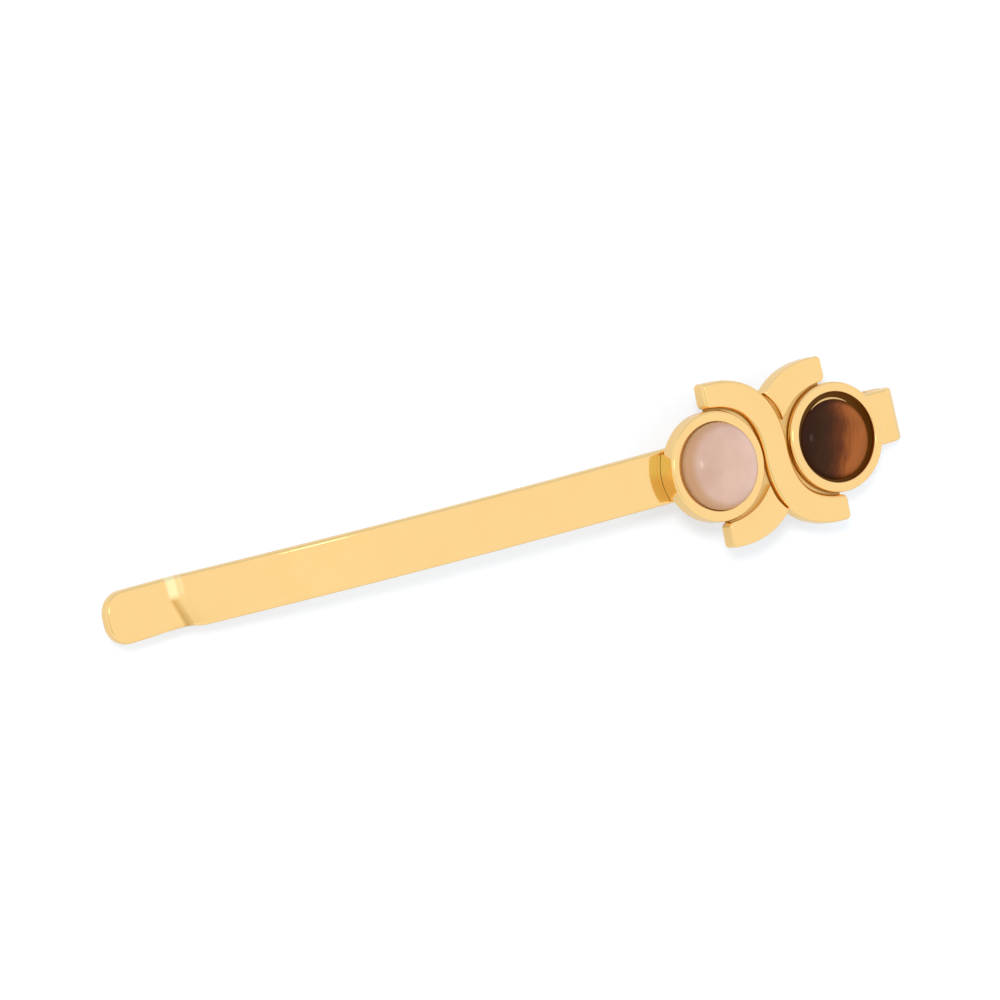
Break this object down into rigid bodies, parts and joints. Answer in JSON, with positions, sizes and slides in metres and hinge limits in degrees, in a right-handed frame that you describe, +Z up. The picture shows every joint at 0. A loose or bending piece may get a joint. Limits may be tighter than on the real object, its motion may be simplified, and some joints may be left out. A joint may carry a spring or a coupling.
{
  "type": "hair slide",
  "caption": "Folded, arched spring strip that grips a lock of hair, with round stones in collars among crossing bands over its closed end.",
  "frame": {"origin": "Centre of the bounding box in plan, on the surface that the slide rests on.", "axes": "+X along the strip towards its closed, jewelled end; +Z up, out of the ornament's face; +Y across the strip."},
  "size_m": [0.0554, 0.0102, 0.0062],
  "materials": {
    "gold_plate": "polished gold plate",
    "pink_stone": "polished, milky",
    "brown_stone": "polished, banded"
  },
  "bodies": {
    "slide": {"top_leg": "gold_plate", "back_plate": "gold_plate", "pink_collar": "gold_plate", "brown_collar": "gold_plate", "pink_stone": "pink_stone", "brown_stone": "brown_stone", "over_band": "gold_plate", "upper_arm": "gold_plate", "lower_arm": "gold_plate"},
    "lower_leg": {"spring_leg": "gold_plate"}
  },
  "joints": [
    {"name": "leg_opening", "type": "hinge", "parent": "slide", "child": "lower_leg", "pos_m": [0.02634, 0.0002, 0.00038], "axis": [0, -1, 0], "range_deg": [0, 6], "stiffness_Nm_per_rad": 0.5, "springref_deg": -2.58}
  ]
}
